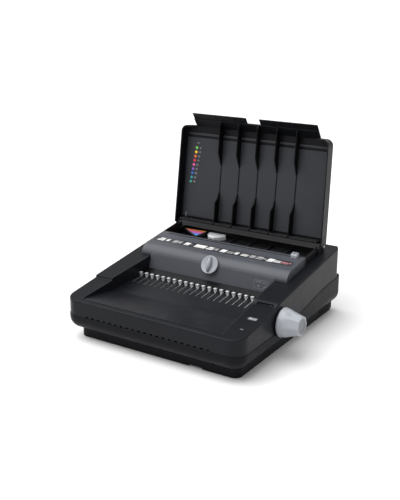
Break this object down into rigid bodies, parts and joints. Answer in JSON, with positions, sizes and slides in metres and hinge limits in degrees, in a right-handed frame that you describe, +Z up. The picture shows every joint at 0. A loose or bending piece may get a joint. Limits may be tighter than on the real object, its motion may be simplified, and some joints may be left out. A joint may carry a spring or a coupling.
{
  "type": "comb binding machine",
  "caption": "Desk-top electric comb punching and binding machine with an open ribbed lid, a dished paper tray, a row of hooks, a margin dial and a side opener knob.",
  "frame": {"origin": "bottom centre of the whole machine's box, on the table, the knob and the open lid included", "axes": "+X to the right along the throat, +Y from the front to the back, +Z up"},
  "size_m": [0.4518, 0.4444, 0.4078],
  "materials": {
    "charcoal_plastic": "fine satin texture",
    "grey_plastic": "satin",
    "black_plastic": "satin",
    "silver_plastic": "silver, soft gloss",
    "white_plastic": "soft gloss",
    "clear_plastic": "clear",
    "light_lens": "clear green",
    "steel": "ground and zinc plated",
    "brass": "turned",
    "motor_case": "dark paint",
    "board": "green lacquer",
    "rubber": "dull"
  },
  "bodies": {
    "chassis": {"base_pan": "charcoal_plastic", "main_housing": "charcoal_plastic", "paper_tray": "charcoal_plastic", "front_panel": "grey_plastic", "throat_cover": "grey_plastic", "storage_tray": "black_plastic", "finger_comb": "black_plastic", "hook_plate_guides": "black_plastic", "opener_posts": "black_plastic", "dial_bush": "brass", "margin_slide_pads": "black_plastic", "guide_plate": "steel", "die_plate": "steel", "plate_screws": "steel", "side_plates": "steel", "camshaft_bushes": "brass", "motor": "motor_case", "return_springs": "steel", "chip_chute": "black_plastic", "hinge_ears": "charcoal_plastic", "hinge_pins": "steel", "micro_switch": "black_plastic", "switch_post": "black_plastic", "ready_light": "light_lens", "transformer": "motor_case", "control_board": "board", "mains_inlet": "black_plastic", "mains_switch_frame": "black_plastic", "rubber_feet": "rubber", "base_screws": "steel", "screw_bosses": "black_plastic", "size_gauge": "black_plastic", "gauge_holder": "clear_plastic"},
    "lid": {"lid_shell": "charcoal_plastic", "lid_dividers": "black_plastic", "lid_ledges": "black_plastic"},
    "opener": {"opener_knob": "silver_plastic", "knob_cap": "silver_plastic", "opener_shaft": "steel", "opener_pinions": "steel"},
    "hook_carriage": {"hook_plate": "steel", "opener_racks": "black_plastic"},
    "dial": {"margin_dial": "white_plastic", "dial_shaft": "steel"},
    "margin_slide": {"margin_slide": "black_plastic"},
    "depth_stop": {"depth_stop": "black_plastic"},
    "edge_guide": {"edge_guide": "white_plastic"},
    "camshaft": {"camshaft": "steel", "punch_cams": "steel", "camshaft_gear": "steel"},
    "motor_pinion": {"motor_pinion": "steel"},
    "punch_beam": {"punch_beam": "steel", "punch_pins": "steel"},
    "chip_drawer": {"chip_drawer": "charcoal_plastic"},
    "punch_button": {"punch_button": "grey_plastic"},
    "rocker": {"mains_rocker": "black_plastic"}
  },
  "joints": [
    {"name": "lid_hinge", "type": "hinge", "parent": "chassis", "child": "lid", "pos_m": [-0.0224, 0.15515, 0.158], "axis": [1, 0, 0], "range_deg": [0, 99.5]},
    {"name": "opener_turn", "type": "hinge", "parent": "chassis", "child": "opener", "pos_m": [0.1811, -0.06825, 0.07297], "axis": [1, 0, 0], "range_deg": [0, 334]},
    {"name": "hook_slide", "type": "slide", "parent": "chassis", "child": "hook_carriage", "axis": [0, -0.994, -0.1093], "range_m": [0, 0.028]},
    {"name": "dial_turn", "type": "hinge", "parent": "chassis", "child": "dial", "pos_m": [-0.0224, 0.00415, 0.127], "axis": [0, 0.866, -0.5], "range_deg": [-70, 70]},
    {"name": "margin_slide_x", "type": "slide", "parent": "chassis", "child": "margin_slide", "axis": [1, 0, 0], "range_m": [-0.00586, 0.00586]},
    {"name": "depth_stop_z", "type": "slide", "parent": "chassis", "child": "depth_stop", "axis": [0, 0, 1], "range_m": [-0.0018, 0.0018]},
    {"name": "edge_guide_x", "type": "slide", "parent": "chassis", "child": "edge_guide", "axis": [1, 0, 0], "range_m": [-0.009, 0.003]},
    {"name": "camshaft_turn", "type": "hinge", "parent": "chassis", "child": "camshaft", "pos_m": [-0.0224, 0.03215, 0.111], "axis": [1, 0, 0], "range_deg": [0, 150]},
    {"name": "motor_pinion_turn", "type": "hinge", "parent": "chassis", "child": "motor_pinion", "pos_m": [-0.0224, 0.03215, 0.085], "axis": [1, 0, 0], "range_deg": [-337.5, 0]},
    {"name": "punch_stroke", "type": "slide", "parent": "chassis", "child": "punch_beam", "axis": [0, 1, 0], "range_m": [0, 0.009], "stiffness_N_per_m": 1600, "springref_m": -0.004, "deforming": ["return_springs"]},
    {"name": "chip_drawer_x", "type": "slide", "parent": "chassis", "child": "chip_drawer", "axis": [1, 0, 0], "range_m": [0, 0.26]},
    {"name": "punch_button_press", "type": "slide", "parent": "chassis", "child": "punch_button", "axis": [0, 0.1435, -0.9897], "range_m": [0, 0.0015], "stiffness_N_per_m": 700, "springref_m": -0.001},
    {"name": "rocker_tilt", "type": "hinge", "parent": "chassis", "child": "rocker", "pos_m": [-0.1844, 0.21525, 0.063], "axis": [1, 0, 0], "range_deg": [0, 16]}
  ],
  "couplings": [
    {"joint": "hook_slide", "follows": "opener_turn", "m_per_rad": 0.0048},
    {"joint": "dial_turn", "follows": "margin_slide_x", "rad_per_m": -208.33},
    {"joint": "depth_stop_z", "follows": "margin_slide_x", "ratio": -0.3},
    {"joint": "camshaft_turn", "follows": "punch_stroke", "rad_per_m": 290.89},
    {"joint": "motor_pinion_turn", "follows": "punch_stroke", "rad_per_m": -654.5}
  ]
}
